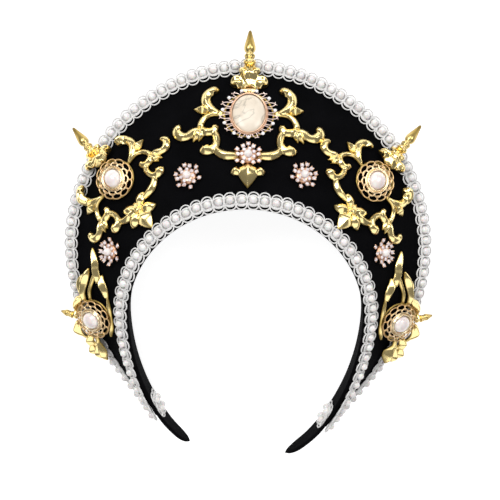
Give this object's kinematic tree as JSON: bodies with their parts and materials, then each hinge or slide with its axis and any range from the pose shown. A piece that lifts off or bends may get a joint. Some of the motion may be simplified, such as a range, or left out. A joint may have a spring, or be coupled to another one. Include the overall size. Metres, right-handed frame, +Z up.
{
  "type": "french hood",
  "caption": "Crescent-shaped french hood in velvet on a curved headband, edged with pearl braid and set with gilt castings, brooches and a cream stone.",
  "frame": {"origin": "bottom centre of the box of the hood lying on its back", "axes": "+Z up out of the hood's front, +Y towards the top finial, +X to the right as seen from the front"},
  "size_m": [0.2276, 0.2564, 0.0566],
  "materials": {
    "velvet": "black cotton velvet",
    "band_cloth": "black covered band",
    "braid_pearl": "ivory pearl braid on white thread",
    "gilt": "pale antique gilt",
    "rose_gilt": "rose gilt",
    "cream_stone": "polished cream stone",
    "white_pearl": "white imitation pearl"
  },
  "bodies": {
    "root": {"crescent_panel": "velvet", "headband": "band_cloth", "inner_pearl_braid": "braid_pearl", "outer_pearl_braid": "braid_pearl", "scroll_casting_top": "gilt", "scroll_casting_upper_left": "gilt", "scroll_casting_upper_right": "gilt", "scroll_casting_lower_left": "gilt", "scroll_casting_lower_right": "gilt", "finial_top": "gilt", "finial_upper_left": "gilt", "finial_upper_right": "gilt", "finial_lower_left": "gilt", "finial_lower_right": "gilt", "stone_setting": "gilt", "centre_stone": "cream_stone", "brooch_frame_upper_left": "rose_gilt", "brooch_frame_upper_right": "rose_gilt", "brooch_frame_lower_left": "rose_gilt", "brooch_frame_lower_right": "rose_gilt", "brooch_pearl_upper_left": "white_pearl", "brooch_pearl_upper_right": "white_pearl", "brooch_pearl_lower_left": "white_pearl", "brooch_pearl_lower_right": "white_pearl", "starburst_top": "rose_gilt", "starburst_upper_left": "rose_gilt", "starburst_upper_right": "rose_gilt", "starburst_lower_left": "rose_gilt", "starburst_lower_right": "rose_gilt"}
  },
  "joints": []
}
